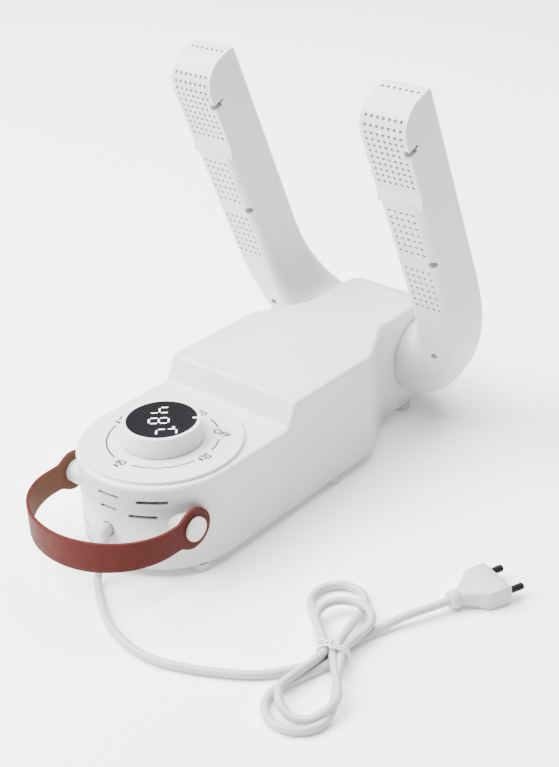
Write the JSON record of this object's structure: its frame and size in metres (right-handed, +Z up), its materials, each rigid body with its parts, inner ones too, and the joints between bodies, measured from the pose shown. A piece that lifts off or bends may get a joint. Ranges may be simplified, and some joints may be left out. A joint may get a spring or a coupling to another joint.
{
  "type": "portable folding shoe dryer",
  "caption": "Warm-air dryer for footwear: a round-fronted heater box with a timer knob and leather carrying strap, folding perforated air arms and a coiled mains lead.",
  "frame": {"origin": "on the floor, midway between the front of the strap and the rear of the casing, on the plane of symmetry; the lead, its hank and the plug are left out of this", "axes": "+Z up; -Y is the front, with the knob, the strap and the lead; +X is the right side seen from the front"},
  "size_m": [0.2845, 0.3357, 0.2454],
  "materials": {
    "shell": "white moulded plastic, satin",
    "dial": "white with grey print",
    "base": "white plastic, matt",
    "foot": "white rubber",
    "screw": "zinc plated",
    "inner_plastic": "black plastic",
    "nylon": "natural nylon",
    "motor": "dark motor can",
    "steel": "ground steel",
    "brass": "plain brass",
    "heater": "plain aluminium fins",
    "cutout": "metal can",
    "board": "green circuit board",
    "component": "dark component case",
    "relay": "blue component case",
    "window": "smoked black window",
    "display": "black display module",
    "knob": "white plastic, gloss",
    "strap": "red-brown leather",
    "rivet": "white cap",
    "cord": "white flexible sheath",
    "tie": "white coated wire",
    "plug": "white moulded plug",
    "pins": "nickel-plated pins"
  },
  "bodies": {
    "casing": {"upper_casing": "shell", "base_plate": "base", "rubber_feet": "foot", "casing_screws": "screw", "timer_dial": "dial", "timer_encoder": "component", "encoder_nut": "steel", "strap_rivets": "rivet", "fan_housing": "inner_plastic", "fan_motor": "motor", "heater_frame": "nylon", "heater_core": "heater", "thermal_cutout": "cutout", "air_duct": "inner_plastic", "air_manifold": "inner_plastic", "control_board": "board", "board_screws": "screw", "transformer": "component", "relay": "relay", "capacitor": "component", "terminal_block": "nylon", "right_bush": "nylon", "left_bush": "nylon", "cord_gland": "cord", "cord_lead": "cord", "cord_hank": "cord", "cord_tie": "tie", "cord_tail": "cord", "plug_body": "plug", "plug_pins": "pins"},
    "timer_knob": {"knob": "knob", "knob_shaft": "nylon", "display_module": "display", "display_window": "window"},
    "carrying_strap": {"strap": "strap"},
    "right_arm": {"right_arm_front": "shell", "right_arm_back": "shell", "right_arm_screws": "screw", "right_arm_collar": "nylon", "right_arm_ring": "steel"},
    "left_arm": {"left_arm_front": "shell", "left_arm_back": "shell", "left_arm_screws": "screw", "left_arm_collar": "nylon", "left_arm_ring": "steel"},
    "fan_rotor": {"fan_impeller": "inner_plastic", "fan_shaft": "steel"}
  },
  "joints": [
    {"name": "knob_turn", "type": "hinge", "parent": "casing", "child": "timer_knob", "pos_m": [0, -0.07625, 0.062], "axis": [0, 0, 1], "range_deg": [-312, 0]},
    {"name": "right_arm_fold", "type": "hinge", "parent": "casing", "child": "right_arm", "pos_m": [0.0309, 0.12875, 0.04], "axis": [1, 0, 0], "range_deg": [-21.7, 68.3]},
    {"name": "left_arm_fold", "type": "hinge", "parent": "casing", "child": "left_arm", "pos_m": [-0.0309, 0.12875, 0.04], "axis": [1, 0, 0], "range_deg": [-21.7, 68.3]},
    {"name": "strap_swing", "type": "hinge", "parent": "casing", "child": "carrying_strap", "pos_m": [0, -0.10425, 0.036], "axis": [-1, 0, 0], "range_deg": [-15, 90]},
    {"name": "fan_spin", "type": "hinge", "parent": "casing", "child": "fan_rotor", "pos_m": [0, -0.00225, 0.04], "axis": [0, 1, 0], "continuous": true}
  ]
}
